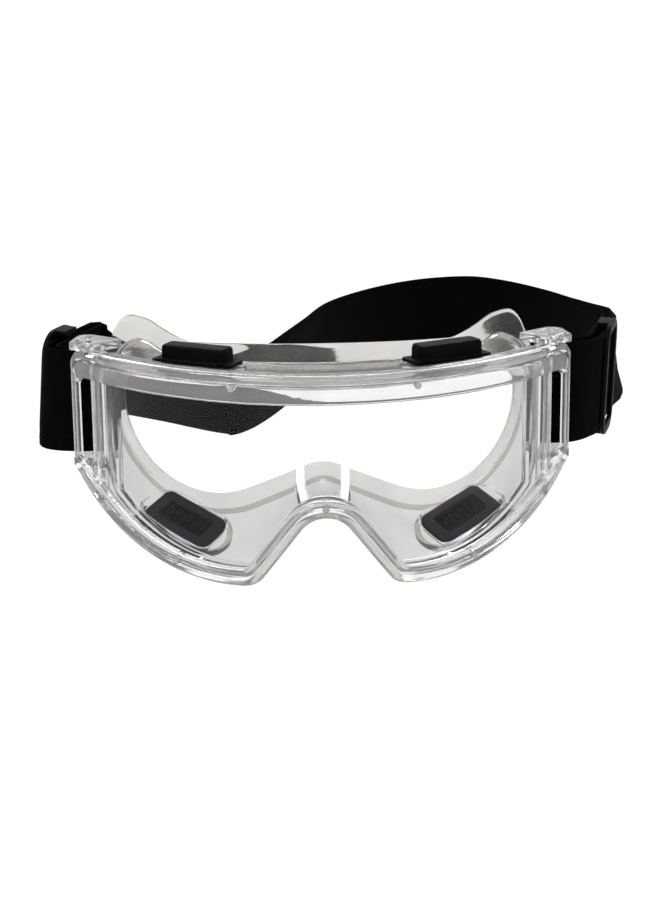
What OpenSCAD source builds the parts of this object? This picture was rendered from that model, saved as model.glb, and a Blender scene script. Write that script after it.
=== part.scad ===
// Sports protective goggles: a soft clear facepiece, a rigid clear front frame that holds a
// wide cylindrical lens, four indirect vents, and an elastic headband with two sliders.
// The goggles face -Y, +Z is up, +X is to the right of someone looking at the lens, and the
// origin is the middle of the face opening, on the face that seals against the wearer.

/* [Lens] */
// Radius of the lens outer face, which is part of an upright cylinder
lens_r = 110; // [106:1:114]
// Thickness of the lens
lens_t = 2; // [1.6:0.1:2.4]

/* [Front frame] */
// Half width of the frame at the stiles that hold the sides of the lens
frame_half = 78.4; // [77.4:0.5:79.4]
// Half width of the frame over the posts that guard the webbing
post_half = 84.4; // [84:0.2:85]
// Height of the top rim at the middle, above the lowest point of the frame
frame_top = 71.5; // [70:0.5:73]
// Rise of the top rim from the middle to the corners
top_rise = 2; // [1:0.5:3]
// Height of the rim above the lens
top_rim = 10; // [9:0.5:11]
// Height of the rim below and beside the lens
low_rim = 6.3; // [5.5:0.1:7]
// Distance from the middle to each strap pin
pin_x = 80; // [79.8:0.1:80.4]
// Radius of a strap pin
pin_r = 1.5; // [1.2:0.1:1.6]

/* [Facepiece] */
// Distance from the lens to the face opening at the middle
depth = 36; // [34:1:38]
// Radius of the curve that fits the forehead and cheeks
face_r = 95; // [92:1:100]
// Width of the sealing flange at the cheeks, from the edge of the opening
flange_w = 8; // [7:0.5:9]
// Extra height of the two pointed ears on the upper corners of the flange
ear_h = 8.5; // [6:0.5:9]
// Wall thickness
wall_t = 2; // [1.8:0.1:2.4]

/* [Vents] */
// Length of the base plate of an upper vent cap
upper_vent_len = 30; // [28:1:31]
// Length of the flange of a lower vent frame
lower_vent_len = 27; // [26:1:28]
// Width of the flange of a lower vent frame
lower_vent_wid = 16.4; // [15:0.2:17]

/* [Headband] */
// Width of the webbing
band_w = 36; // [34:1:36]
// Thickness of the webbing
band_t = 1.6; // [1.2:0.1:1.8]
// Length of a slider along the webbing
slider_len = 24; // [22:1:25]
// Height of a slider
slider_h = 41; // [40:1:43]

/* [Hidden] */

// Heights here are above the lowest point of the frame, and depths start at the lens middle.
eye_z = 46;
rim_front = 2.5;        // the rim stands this far in front of the lens
rim_back = 3;           // and this far behind the front of the lens
edge_gap = 0.16;        // clearance between parts that only touch
lens_edge = 2.6;        // the lens edge lies this far inside the rim
pin_y = 45.5;           // depth of the strap pins
lug_low = 35;           // inner faces of the strap lugs
lug_high = 73;
lug_t = 2.8;
post_w = 1.7;           // width of a guard post, seen from the front
band_z = 54;            // height of the middle of the webbing at the pins
layer_gap = 2;          // half the distance between the two layers of webbing in a slider
loop_r = 4.1;           // radius of the webbing's loop about a pin
run_y = 67;             // depth of the middle of each slider
left_lean = 5;          // lean of the webbing in each slider
right_lean = -2;
left_run = 70;          // heading of the webbing in each slider, in degrees from +X
right_run = 73;

// ---- Outlines ----------------------------------------------------------------------------

function arc(c, r, a0, a1, n) =
    [for (i = [0:n - 1]) c + r * [cos(a0 + (a1 - a0) * i / n), sin(a0 + (a1 - a0) * i / n)]];
function line(p, q, n) = [for (i = [0:n - 1]) p + (q - p) * i / n];

// Heading of the straight flank that touches the nose arc on one side and the lobe on the other.
function flank_angle(c1, r1, c2, r2) = atan2(c2.y - c1.y, c2.x - c1.x) - asin((r1 + r2) / norm(c2 - c1));

// Right half of an outline, from the middle of the nose round to the middle of the top.
// Each circle is [centre, radius]; a1 and a2 are where the lobe and the cheek circle end.
function half_outline(nose, lobe, cheek, corner, a1, a2, side_x, top_z, rise, top_r) =
    let (
        heading = flank_angle(nose[0], nose[1], lobe[0], lobe[1]),
        flank_a = nose[0] + nose[1] * [cos(heading + 90), sin(heading + 90)],
        flank_b = lobe[0] - lobe[1] * [cos(heading + 90), sin(heading + 90)],
        top_c = [side_x - top_r, top_z + rise - top_r]
    )
    concat(
        arc(nose[0], nose[1], 90, heading + 90, 6),
        line(flank_a, flank_b, 5),
        arc(lobe[0], lobe[1], heading + 270, a1, 7),
        arc(cheek[0], cheek[1], a1, a2, 16),
        arc(corner[0], corner[1], a2, 360, 6),
        line([side_x, corner[0].y], [side_x, top_c.y], 8),
        arc(top_c, top_r, 0, 90, 7),
        [for (i = [0:17]) [top_c.x * (1 - i / 18), top_z + rise * pow(1 - i / 18, 2)]],
        [[0, top_z]]
    );
function whole_outline(half) =
    let (last = len(half) - 1)
    concat(half, [for (i = [last - 1:-1:1]) [-half[i].x, half[i].y]]);

nose = [[0, 13], 10];
lobe = [[27.5, 7.6], 8.7];
cheek = [[28.6, 62.8], 63.9];
top_r = 4.6;
top_c = frame_half - top_r;
lobe_end = 268.9;

// The circle that rounds the cheek into an upright line at x, and the angle where it starts.
function corner_at(x, r) =
    let (a = acos((x - r - cheek[0].x) / (cheek[1] - r)))
    [[x - r, cheek[0].y - (cheek[1] - r) * sin(a)], r, 360 - a];
function widened(c, w) = [c[0], c[1] + w];
function rise(x) = top_rise * pow(x / top_c, 2);

// Edge of the lens and facepiece, outer edge of the frame, and the frame's window.
lens_corner = corner_at(frame_half, 6);
rim_outline = whole_outline(half_outline(nose, lobe, cheek, lens_corner,
    lobe_end, lens_corner[2], frame_half, frame_top, rise(top_c), top_r));
post_corner = corner_at(post_half, 4);
frame_outline = whole_outline(half_outline(nose, lobe, cheek, post_corner,
    lobe_end, post_corner[2], post_half, frame_top, rise(post_half - top_r), top_r));
window_half = post_half - post_w;
window = whole_outline(half_outline(widened(nose, low_rim), widened(lobe, -low_rim),
    widened(cheek, -low_rim), [[window_half - 2, lug_low + 2], 2],
    lobe_end, 325, window_half, frame_top - top_rim, rise(window_half - 3), 3));
opening_c = [[39, 50], 30.5];
opening = whole_outline(half_outline([[0, 18.5], 14], opening_c, opening_c, opening_c,
    272, 325, 69.5, 62.5, 0, 10));
stations = len(rim_outline);

// Unit normals of an outline, into the lens opening for sign 1 and out of it for sign -1.
function normals(p, sign) =
    [for (i = [0:len(p) - 1])
        let (t = p[(i + 1) % len(p)] - p[(i + len(p) - 1) % len(p)])
        sign * [-t.y, t.x] / norm(t)];
rim_in = normals(rim_outline, 1);
opening_out = normals(opening, -1);
function inset(w) = [for (i = [0:stations - 1]) rim_outline[i] + w * rim_in[i]];

// ---- Curved surfaces ---------------------------------------------------------------------

// A point of the front view laid on the lens cylinder and moved d towards the face.
function wrap(p, d) =
    let (a = asin(p.x / lens_r))
    [(lens_r - d) * sin(a), lens_r - (lens_r - d) * cos(a), p.y];
function face_y(x) = depth + face_r - sqrt(face_r * face_r - x * x);
function smooth(t) = let (u = max(0, min(1, t))) u * u * (3 - 2 * u);

// Ears and width of the sealing flange at a point of the face opening.
function upper(p) = smooth((p.y - 46) / 14);
function ear(p) =
    let (e = abs(p.x) - 62)
    upper(p) * (e < 0 ? pow(max(0, 1 + e / 17), 1.3) : exp(-pow(e / 4, 2)));
function tent(p) = upper(p) * max(0, 1 - abs(abs(p.x) - 62) / 9);
function flange(p) = flange_w
    + upper(p) * (2 + 1.9 * cos(90 * min(1, abs(p.x) / 60))) + ear_h * ear(p);

function at_rim(i, w, d) = wrap(rim_outline[i] + w * rim_in[i], d);
function at_face(i, m, d) =
    let (p = opening[i] + m * opening_out[i])
    [p.x, face_y(p.x) + d, p.y];

wall_in = 2.2;          // the wall leaves the rim this far inside its outline
neck = 3.6;             // and meets the flange this far outside the face opening
function wall(i, t, side) =
    let (
        lift = 5 * tent(opening[i]),
        a = at_rim(i, wall_in + wall_t * (1 - side) + 0.2, rim_back + 3.6),
        b = at_face(i, neck + wall_t * side + lift, -2),
        out = [-rim_in[i].x, 0, -rim_in[i].y]
    )
    a + (b - a) * t + out * 1.2 * sin(180 * t);

// Section of the facepiece at one station, from the lens seat round the outside to the flange
// and back along the inside.
function section(i) =
    let (w = flange(opening[i]), back = rim_back + 0.15, seat = lens_t + 0.15)
    [
        at_rim(i, lens_edge + 0.1, seat), at_rim(i, lens_edge + 0.1, back),
        at_rim(i, 0.4, back), at_rim(i, 0.4, back + 2.2),
        wall(i, 0, 1), wall(i, 0.33, 1), wall(i, 0.67, 1), wall(i, 1, 1),
        at_face(i, w - 0.6, -1.3), at_face(i, w, -0.7), at_face(i, w - 0.4, 0),
        at_face(i, neck + 1, 0), at_face(i, 0.3, 0), at_face(i, 0, -0.6), at_face(i, 0.5, -1.2),
        wall(i, 1, 0), wall(i, 0.67, 0), wall(i, 0.33, 0), wall(i, 0, 0),
        at_rim(i, low_rim - 0.3, back + 1.5), at_rim(i, low_rim - 0.3, seat)
    ];

// A closed ring swept through rows of points, all rows the same length.
module ring_solid(rows) {
    n = len(rows);
    m = len(rows[0]);
    polyhedron(
        points = [for (r = rows) each r],
        faces = [for (i = [0:n - 1], j = [0:m - 1])
            let (a = i * m, b = ((i + 1) % n) * m, k = (j + 1) % m)
            each [[a + j, b + j, b + k], [a + j, b + k, a + k]]],
        convexity = 10);
}

// An open tube swept through rows of points, closed by its two end faces.
module tube_solid(rows) {
    n = len(rows);
    m = len(rows[0]);
    polyhedron(
        points = [for (r = rows) each r],
        faces = concat(
            [[for (j = [0:m - 1]) j]],
            [for (i = [0:n - 2], j = [0:m - 1])
                let (a = i * m, b = (i + 1) * m, k = (j + 1) % m)
                each [[a + j, b + j, b + k], [a + j, b + k, a + k]]],
            [[for (j = [m - 1:-1:0]) (n - 1) * m + j]]),
        convexity = 10);
}

// The part's frame: the origin moves to the middle of the face opening.
module placed() {
    translate([0, -depth, -eye_z]) children();
}

// The layer between depths d0 and d1 behind the front of the lens.
module layer(d0, d1) {
    translate([0, lens_r, -10]) difference() {
        rotate([0, 0, 0.4]) cylinder(r = lens_r - d0, h = 110, $fn = 240);
        translate([0, 0, -1]) rotate([0, 0, 0.4]) cylinder(r = lens_r - d1, h = 112, $fn = 240);
    }
}

// A shape drawn in the front view, cut through from front to back.
module through(y0 = -10, y1 = 60) {
    translate([0, y1, 0]) rotate([90, 0, 0]) linear_extrude(y1 - y0) children();
}

module bar(p, q, r) {
    hull() {
        translate(p) sphere(r = r, $fn = 16);
        translate(q) sphere(r = r, $fn = 16);
    }
}

// A slab with two half-round ends, centred, between heights z0 and z1.
module slot_shape(len, wid, z0, z1, r = undef) {
    e = is_undef(r) ? wid / 2 : r;
    translate([0, 0, z0]) hull() for (x = [-1, 1], y = [-1, 1])
        translate([x * (len / 2 - e), y * (wid / 2 - e), 0]) cylinder(r = e, h = z1 - z0, $fn = 32);
}

// A slab with rounded corners made from exact curves.
module rounded_slab(len, wid, r, z0, z1) {
    translate([0, 0, z0]) {
        translate([-len / 2 + r, -wid / 2, 0]) cube([len - 2 * r, wid, z1 - z0]);
        translate([-len / 2, -wid / 2 + r, 0]) cube([len, wid - 2 * r, z1 - z0]);
        for (x = [-1, 1], y = [-1, 1])
            translate([x * (len / 2 - r), y * (wid / 2 - r), 0]) cylinder(r = r, h = z1 - z0, $fn = 32);
    }
}

// ---- Where the vents sit: local z points out of the goggles --------------------------------

upper_pad = 1.4;        // half thickness of the flat seat of an upper vent
lower_pad = 1.5;
module upper_vent(side) {
    translate([side * 42, 24, 69.6]) rotate([0, 0, side * 27]) children();
}
module lower_vent(side) {
    mirror([side < 0 ? 1 : 0, 0, 0])
        translate([48.3, 34.5, 10.8]) rotate([21, -21, 29]) mirror([0, 0, 1]) children();
}

// ---- Facepiece ---------------------------------------------------------------------------

module vent_seat(len, wid, pad) {
    slot_shape(len, wid, -pad, pad);
}
module vent_cut(len, wid, pad, hole_len, hole_wid, r) {
    slot_shape(len, wid, pad, pad + 4, r);
    slot_shape(len, wid, -pad - 4, -pad, r);
    slot_shape(hole_len, hole_wid, -pad - 5, pad + 5, 1.5);
}

// The slit beside the nose tab, from the flange almost to the rim.
module nose_slit(side) {
    hull() {
        translate([side * 8.2, depth + 4, 18]) cylinder(r = 1.5, h = 20, $fn = 16);
        translate([side * 6, 9, 18]) cylinder(r = 1.2, h = 20, $fn = 16);
    }
}

module facepiece() {
    color([0.86, 0.87, 0.86, 0.45]) placed() difference() {
        union() {
            ring_solid([for (i = [0:stations - 1]) section(i)]);
            for (side = [-1, 1]) {
                upper_vent(side) vent_seat(upper_vent_len + 5, 16, upper_pad);
                lower_vent(side) vent_seat(lower_vent_len + 9, lower_vent_wid + 6, lower_pad);
            }
        }
        for (side = [-1, 1]) {
            upper_vent(side) vent_cut(upper_vent_len + 0.6, 11.6, upper_pad, 20.4, 5.6, 2);
            lower_vent(side) vent_cut(lower_vent_len + 0.8, lower_vent_wid + 0.8, lower_pad, 18, 9, 3.4);
            nose_slit(side);
        }
    }
}

// ---- Front frame -------------------------------------------------------------------------

groove = 3.5;           // the groove along the rim lies this far inside its outline
stile_w = 3.6;          // width of the stile beside the lens
pegs = [[-49.5, 5.9], [49.5, 5.9], [-30, 67], [30, 67], [0, 26.4]];
peg_r = 1.1;
module at_peg(p) {
    a = asin(p.x / lens_r);
    translate(wrap(p, 0)) rotate([0, 0, a]) rotate([90, 0, 0]) children();
}

// A point of the frame w towards the window, where the whole width counts as full(i).
function full(i) = low_rim + (top_rim - low_rim) * smooth((frame_outline[i].y - frame_top + 6) / 6);
function at_frame(i, w, d) =
    wrap(frame_outline[i] + (window[i] - frame_outline[i]) * w / full(i), d);
function post(i) =
    let (p = frame_outline[i])
    smooth((abs(p.x) - 77) / 2) * smooth((p.y - lug_low + 4) / 3);

// Section of the frame at one station: a rim with a groove, and a rebate for the lens behind it.
function frame_section(i) =
    let (w = full(i), f = -rim_front, back = rim_back - 2.8 * post(i))
    [
        at_frame(i, lens_edge - 0.4, back), at_frame(i, lens_edge - 0.4, -edge_gap),
        at_frame(i, w, -edge_gap), at_frame(i, w, f + 0.8), at_frame(i, w - 0.9, f),
        at_frame(i, groove + 0.5, f), at_frame(i, groove, f + 0.8), at_frame(i, groove - 0.5, f),
        at_frame(i, 0.9, f), at_frame(i, 0, f + 0.9), at_frame(i, 0, back)
    ];

// The stile beside the lens, swept from the cheek to the top rim.
function stile_section(i) =
    [for (q = [[2, 2.8], [2, -0.2], [stile_w, -0.2], [stile_w, -0.9], [stile_w - 0.5, -1.4],
        [0.8, -1.4], [0.3, -0.9], [0.3, 2.8]]) at_rim(i, q[0], q[1])];
module stile(side) {
    mirror([side < 0 ? 1 : 0, 0, 0]) tube_solid([for (i = [31:57]) stile_section(i)]);
}
// A strap lug; the upper one reaches further in over the facepiece.
module lug(side, z, h, inner = 78.4) {
    hull() {
        translate([side * 77.6, 33.6, z]) cylinder(r = 1.3, h = h, $fn = 24);
        translate([side * 84.8, 38, z]) cylinder(r = 1.4, h = h, $fn = 24);
        translate([side * inner, 41, z]) cylinder(r = 1.4, h = h, $fn = 24);
        translate([side * (pin_x + 0.6), pin_y + 0.4, z]) cylinder(r = 4, h = h, $fn = 32);
    }
}

module front_frame() {
    color([0.84, 0.85, 0.85, 0.5]) placed() difference() {
        union() {
            ring_solid([for (i = [0:stations - 1]) frame_section(i)]);
            for (side = [-1, 1]) {
                stile(side);
                lug(side, lug_low - lug_t, lug_t);
                lug(side, lug_high, lug_t, 70);
                // Knuckles at the two ends of the guard post.
                bar([side * 83.2, 38.9, lug_high + 1.5], [side * 79.4, 34.3, lug_high + 1.1], 1.95);
                bar([side * 83.7, 38.9, lug_low - 1.4], [side * 84, 39.4, lug_low - 3.6], 1.6);
            }
        }
        for (p = pegs) at_peg(p)
            translate([0, 0, -1]) rotate([0, 0, 5]) cylinder(r = peg_r + 0.1, h = 5, $fn = 24);
        for (side = [-1, 1])
            translate([side * pin_x, pin_y, 20]) cylinder(r = pin_r + 0.06, h = 70, $fn = 32);
    }
}

module lens() {
    color([0.9, 0.93, 0.95, 0.3]) placed() intersection() {
        layer(0, lens_t);
        through(-10, 50) polygon([for (p = inset(lens_edge)) [p.x * (lens_r - lens_t) / lens_r, p.y]]);
    }
}

// Five short pegs bonded to the front of the lens, which hold it in the rim.
module lens_pegs() {
    color([0.6, 0.6, 0.6]) placed()
        for (p = pegs) at_peg(p) translate([0, 0, 0.02]) cylinder(r = peg_r, h = rim_front + 0.35, $fn = 24);
}

module strap_pin(side) {
    color([0.8, 0.81, 0.82]) placed()
        translate([side * pin_x, pin_y, lug_low - lug_t - 0.3])
        cylinder(r = pin_r, h = lug_high - lug_low + 2 * lug_t + 0.6, $fn = 32);
}

// ---- Vents: cap outside, frame inside with a sleeve through the wall, screen in the frame ----

module vent_cap(len, wid, box_len, box_wid, height, pad) {
    difference() {
        union() {
            rounded_slab(len, wid, 1.6, pad, pad + 1.2);
            rounded_slab(box_len, box_wid, 2, pad + 1.2, pad + height);
        }
        translate([-box_len / 2 + 1.4, -box_wid / 2 + 1.4, pad - 1])
            cube([box_len - 2.8, box_wid - 2.8, height - 0.2]);
        for (x = [-1, 1], i = [0:3])
            translate([x * (2 + 2.6 * i) - 0.8, 0, pad + 1.6]) cube([1.6, wid, 1.4]);
    }
}

module vent_frame(len, wid, hole_len, hole_wid, pad, flange_t) {
    difference() {
        union() {
            rounded_slab(len, wid, 3 * wid / 16, -pad - flange_t, -pad);
            rounded_slab(hole_len - 0.3, hole_wid - 0.3, 1.2, -pad, pad - 0.1);
        }
        rounded_slab(hole_len - 2.7, hole_wid - 2.7, 0.6, -pad - 1, pad + 1);
        rounded_slab(hole_len - 0.3, hole_wid - 0.5, 1, -pad - flange_t - 1, -pad - flange_t + 1.2);
    }
}

module vent_screen(hole_len, hole_wid, pad, flange_t) {
    z0 = -pad - flange_t + 0.6;
    difference() {
        rounded_slab(hole_len - 0.5, hole_wid - 0.7, 0.9, z0, z0 + 0.55);
        for (i = [-3:3]) translate([i * 2.4 - 0.5, -hole_wid / 2 + 1.9, z0 - 1])
            cube([1, hole_wid - 3.8, 3]);
    }
}

module upper_cap(side) {
    color([0.05, 0.05, 0.06]) placed() upper_vent(side)
        vent_cap(upper_vent_len, 11, 24.5, 8.4, 6, upper_pad);
}
module upper_frame(side) {
    color([0.1, 0.1, 0.11]) placed() upper_vent(side)
        vent_frame(26, 9, 20.4, 5.6, upper_pad, 1.6);
}
module upper_screen(side) {
    color([0.16, 0.16, 0.17]) placed() upper_vent(side) vent_screen(20.4, 5.6, upper_pad, 1.6);
}
module lower_cap(side) {
    color([0.05, 0.05, 0.06]) placed() lower_vent(side)
        vent_cap(lower_vent_len - 1, 14, 23, 11.4, 5, lower_pad);
}
module lower_frame(side) {
    color([0.2, 0.2, 0.23]) placed() lower_vent(side)
        vent_frame(lower_vent_len, lower_vent_wid, 18, 9, lower_pad, 1.8);
}
module lower_screen(side) {
    color([0.12, 0.12, 0.14]) placed() lower_vent(side) vent_screen(18, 9, lower_pad, 1.8);
}

// ---- Headband ----------------------------------------------------------------------------
// The webbing stands on its edge. Each of its ends passes through a slider, turns round a
// strap pin and comes back to the slider, where it is sewn down.

// Route of the single layer: x, y, height of the middle, and lean of the top edge in degrees
// towards the right hand of someone walking along it.
route = [[-82, 94.5, 53.5, 8], [-77, 96.5, 52, 14], [-70, 92, 50.5, 21], [-62, 84.5, 49.5, 27],
    [-53, 75.5, 49, 30], [-44, 67, 49, 31], [-36, 62, 49.5, 29],
    [-29, 62.5, 50, 24], [-22.5, 69, 51, 19], [-16.5, 80, 52, 16], [-9, 98, 53, 15],
    [0, 124, 54, 16], [14, 149, 54, 18], [32, 168, 54, 18], [50, 178, 54, 18],
    [68, 180.5, 54, 20], [85, 173, 53.5, 24], [99, 157, 53, 26], [108.5, 140, 52.5, 26],
    [113, 121, 52.5, 19], [113, 106, 53, 8]];

// The doubled ends, from the pin outwards: x, y and half the distance between the layers.
function run_point(side, s) =
    let (a = side < 0 ? left_run : right_run, x0 = side < 0 ? -90.6 : 100.5)
    [x0 + s * cos(a), run_y + s * sin(a), layer_gap];
function doubled(side) = concat(
    [[side * (pin_x + 0.01), pin_y, loop_r], [side * (pin_x + 5.5), pin_y, 3.8]],
    side < 0 ? [[-90.6, 46, 2.9], [-94.5, 48.7, 2.2]] : [[90, 47.2, 2.9], [93.8, 50.4, 2.2]],
    [for (s = [-13.5, -6, 1, 8, 15, 23]) run_point(side, s)]);

// A smooth curve through points of any size, with n steps between neighbours.
function spline_at(p0, p1, p2, p3, t) =
    0.5 * (2 * p1 + (p2 - p0) * t + (2 * p0 - 5 * p1 + 4 * p2 - p3) * t * t
        + (3 * p1 - p0 - 3 * p2 + p3) * t * t * t);
function spline(p, n) =
    let (last = len(p) - 1)
    concat([for (i = [0:last - 1], k = [0:n - 1])
        spline_at(p[max(i - 1, 0)], p[i], p[i + 1], p[min(i + 2, last)], k / n)], [p[last]]);

function heading(p, i) =
    let (t = p[min(i + 1, len(p) - 1)] - p[max(i - 1, 0)])
    [t.x, t.y] / norm([t.x, t.y]);

// One layer of a doubled end: which is 1 for the outboard layer and -1 for the inboard one.
function end_layer(side, which) =
    let (
        p = spline(doubled(side), 4),
        lean = side < 0 ? left_lean : right_lean
    )
    [for (i = [0:len(p) - 1])
        let (
            t = heading(p, i),
            n = side * which * [t.y, -t.x],
            g = p[i][2],
            a = lean * smooth((i - 2) / 10)
        )
        [p[i].x + g * n.x * cos(a), p[i].y + g * n.y * cos(a),
            band_z + g * sin(a) * which, a]];
function turned(side) =
    [for (a = [-75:15:75])
        [side * (pin_x - loop_r * cos(a)), pin_y + loop_r * sin(a), band_z, 0]];
function reversed(p) = [for (i = [len(p) - 1:-1:0]) p[i]];
function flipped(p) = [for (q = p) [q[0], q[1], q[2], -q[3]]];

band_path = concat(
    flipped(reversed(end_layer(-1, -1))), reversed(turned(-1)), end_layer(-1, 1),
    spline(route, 5),
    reversed(end_layer(1, 1)), turned(1), flipped(end_layer(1, -1)));

// The four corners of the webbing where it crosses station i of its path.
function band_corners(i, w = band_w / 2, t = band_t / 2) =
    let (
        h = heading(band_path, i),
        n = [h.y, -h.x],
        p = band_path[i],
        up = [n.x * sin(p[3]), n.y * sin(p[3]), cos(p[3])],
        side = [n.x * cos(p[3]), n.y * cos(p[3]), -sin(p[3])],
        c = [p[0], p[1], p[2]]
    )
    [c + w * up + t * side, c + w * up - t * side, c - w * up - t * side, c - w * up + t * side];

module headband() {
    color([0.03, 0.03, 0.035]) placed()
        tube_solid([for (i = [0:len(band_path) - 1]) band_corners(i)]);
}

// Slider space: x along the webbing, y outboard, z along the webbing's width.
module at_slider(side) {
    p = run_point(side, 0);
    translate([p.x, p.y, band_z])
        rotate([0, 0, side < 0 ? left_run : right_run])
        rotate([side < 0 ? left_lean : -right_lean, 0, 0])
        mirror([0, side < 0 ? 0 : 1, 0]) children();
}

module slider(side) {
    out = layer_gap + band_t / 2 + 0.3;
    rail = (slider_h - band_w - 1) / 2;
    color([0.06, 0.06, 0.07]) placed() at_slider(side) {
        difference() {
            translate([0, out + 1.6, 0]) rotate([90, 0, 0]) rounded_slab(slider_len, slider_h, 8, 0, 1.6);
            translate([-slider_len / 2 + 3.2, out - 1, -band_w / 2 + 1])
                cube([slider_len - 6.4, 4, band_w - 2]);
        }
        for (z = [-1, 1]) translate([-5, -0.85, z > 0 ? slider_h / 2 - rail : -slider_h / 2])
            cube([10, out + 0.85, rail]);
        translate([-2, -0.85, -slider_h / 2]) cube([4, 1.7, slider_h]);
    }
}

// Three rows of thread across the end of the inner layer.
module end_stitching(side) {
    color([0.3, 0.3, 0.32]) placed() at_slider(side)
        for (s = [13.5, 16, 18.5]) translate([s - 0.4, -layer_gap - band_t / 2 - 0.35, -15])
            cube([0.8, 0.33, 30]);
}

facepiece();
front_frame();
lens();
lens_pegs();
strap_pin(-1);  // left_strap_pin
strap_pin(1);  // right_strap_pin
upper_cap(-1);  // upper_left_vent_cap
upper_frame(-1);  // upper_left_vent_frame
upper_screen(-1);  // upper_left_vent_screen
upper_cap(1);  // upper_right_vent_cap
upper_frame(1);  // upper_right_vent_frame
upper_screen(1);  // upper_right_vent_screen
lower_cap(-1);  // lower_left_vent_cap
lower_frame(-1);  // lower_left_vent_frame
lower_screen(-1);  // lower_left_vent_screen
lower_cap(1);  // lower_right_vent_cap
lower_frame(1);  // lower_right_vent_frame
lower_screen(1);  // lower_right_vent_screen
headband();
slider(-1);  // left_slider
slider(1);  // right_slider
end_stitching(-1);  // left_end_stitching
end_stitching(1);  // right_end_stitching
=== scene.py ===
import math

import bmesh
import bpy
import numpy as np
from mathutils import Matrix, Vector
from mathutils.kdtree import KDTree


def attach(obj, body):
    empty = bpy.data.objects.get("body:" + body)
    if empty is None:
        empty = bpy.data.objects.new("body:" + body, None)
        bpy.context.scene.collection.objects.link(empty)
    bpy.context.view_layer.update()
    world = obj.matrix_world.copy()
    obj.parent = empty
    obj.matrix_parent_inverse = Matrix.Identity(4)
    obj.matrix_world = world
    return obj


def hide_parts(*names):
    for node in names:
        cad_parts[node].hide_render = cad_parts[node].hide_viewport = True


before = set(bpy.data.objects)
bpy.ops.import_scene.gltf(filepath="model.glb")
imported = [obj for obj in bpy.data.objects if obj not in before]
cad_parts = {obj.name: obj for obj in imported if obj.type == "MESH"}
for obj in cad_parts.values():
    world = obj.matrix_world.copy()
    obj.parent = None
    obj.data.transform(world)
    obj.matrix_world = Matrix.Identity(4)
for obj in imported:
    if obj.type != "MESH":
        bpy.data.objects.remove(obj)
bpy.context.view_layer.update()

# ------------------------------------------------------------
# Camera: in front of the goggles and a little above them, and rolled slightly
# ------------------------------------------------------------
AZ, EL, ROLL = math.radians(-1.5), math.radians(15.0), math.radians(0.65)
DIST = 0.700
TARGET = Vector((0, 0.004, -0.006))


def make_camera():
    back = Vector((math.sin(AZ) * math.cos(EL), -math.cos(AZ) * math.cos(EL), math.sin(EL)))
    across = (-back).cross(Vector((0, 0, 1))).normalized()
    upward = across.cross(-back)
    cam_x = across * math.cos(ROLL) - upward * math.sin(ROLL)
    cam_y = upward * math.cos(ROLL) + across * math.sin(ROLL)
    cam = bpy.data.cameras.new("camera")
    cam.lens, cam.sensor_width = 80.36, 36.0
    cam.shift_x, cam.shift_y = 0.008889, -0.014444
    cam.clip_start, cam.clip_end = 0.02, 60
    o = bpy.data.objects.new("camera", cam)
    bpy.context.scene.collection.objects.link(o)
    place = Matrix((cam_x, cam_y, back)).transposed().to_4x4()
    place.translation = TARGET + back * DIST
    o.matrix_world = place
    bpy.context.scene.camera = o


make_camera()

# ------------------------------------------------------------
# Numbers shared with the CAD, in millimetres and degrees. Heights are above the lowest point of
# the frame and depths start at the middle of the lens; row() moves a point into the part's frame.
# Where a number has one value for each side, -1 is left and 1 is right.
# ------------------------------------------------------------
LENS_R = 110.0          # the lens is part of an upright cylinder
LENS_T = 2.0
LENS_EDGE = 2.6         # the lens edge lies this far inside the rim
FRAME_HALF = 78.4       # half width at the stiles beside the lens
POST_HALF = 84.4        # and over the posts that guard the webbing
FRAME_TOP = 71.5        # height of the top rim at the middle
TOP_RISE = 2.0          # its rise to the corners
TOP_R = 4.6             # radius of its corners
TOP_RIM = 10.0          # height of the rim above the lens
LOW_RIM = 6.3           # and below and beside it
RIM_FRONT = 2.5         # the rim stands this far in front of the lens
RIM_BACK = 3.0          # and this far behind the front of the lens
POST_W = 1.7            # width of a guard post, seen from the front
STILE_W = 3.6           # width of the bar at each side of the lens
PIN_X, PIN_Y = 80.0, 45.5
PIN_R = 1.5
LUG_LOW = 35.0          # inner faces of the strap lugs
LUG_HIGH = 73.0
LUG_T = 2.8
DEPTH = 36.0            # from the lens to the face opening at the middle
EYE_Z = 46.0            # height of the part's origin
FACE_R = 95.0           # radius of the curve that fits the forehead and cheeks
FLANGE_W = 8.0          # width of the sealing flange at the cheeks
EAR_H = 8.5             # extra height of the flange's two ears
WALL_T = 2.0
EDGE_GAP = 0.16         # clearance between parts that only touch
SEAT_GAP = 0.15         # and between the facepiece and the parts in front of it
BAND_W = 36.0           # width of the webbing
BAND_T = 1.6
BAND_Z = 54.0           # height of the middle of the webbing at the pins
LAYER_GAP = 2.0         # half the distance between the two layers of webbing in a slider
LOOP_R = 4.1            # radius of the webbing's loop about a pin
RUN_X = {-1: -90.6, 1: 100.5}       # place of the middle of each slider
RUN_Y = 67.0
RUN = {-1: 70.0, 1: 73.0}           # heading of the webbing in each slider, from +X
LEAN = {-1: 5.0, 1: -2.0}           # and its lean
SLIDER_LEN = 24.0
SLIDER_H = 41.0
FINE = 3                # stations of an outline for each one of the CAD's


def row(points):
    """Points in the numbers' own space, as metres in the part's frame."""
    return (np.asarray(points, float).reshape(-1, 3) - (0, DEPTH, EYE_Z)) * 0.001


def sind(a):
    return math.sin(math.radians(a))


def cosd(a):
    return math.cos(math.radians(a))


def smooth(t):
    u = np.clip(t, 0, 1)
    return u * u * (3 - 2 * u)


# ------------------------------------------------------------
# Mesh helpers
# ------------------------------------------------------------
MERGE = 2e-6            # metres: closer points become one


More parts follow.
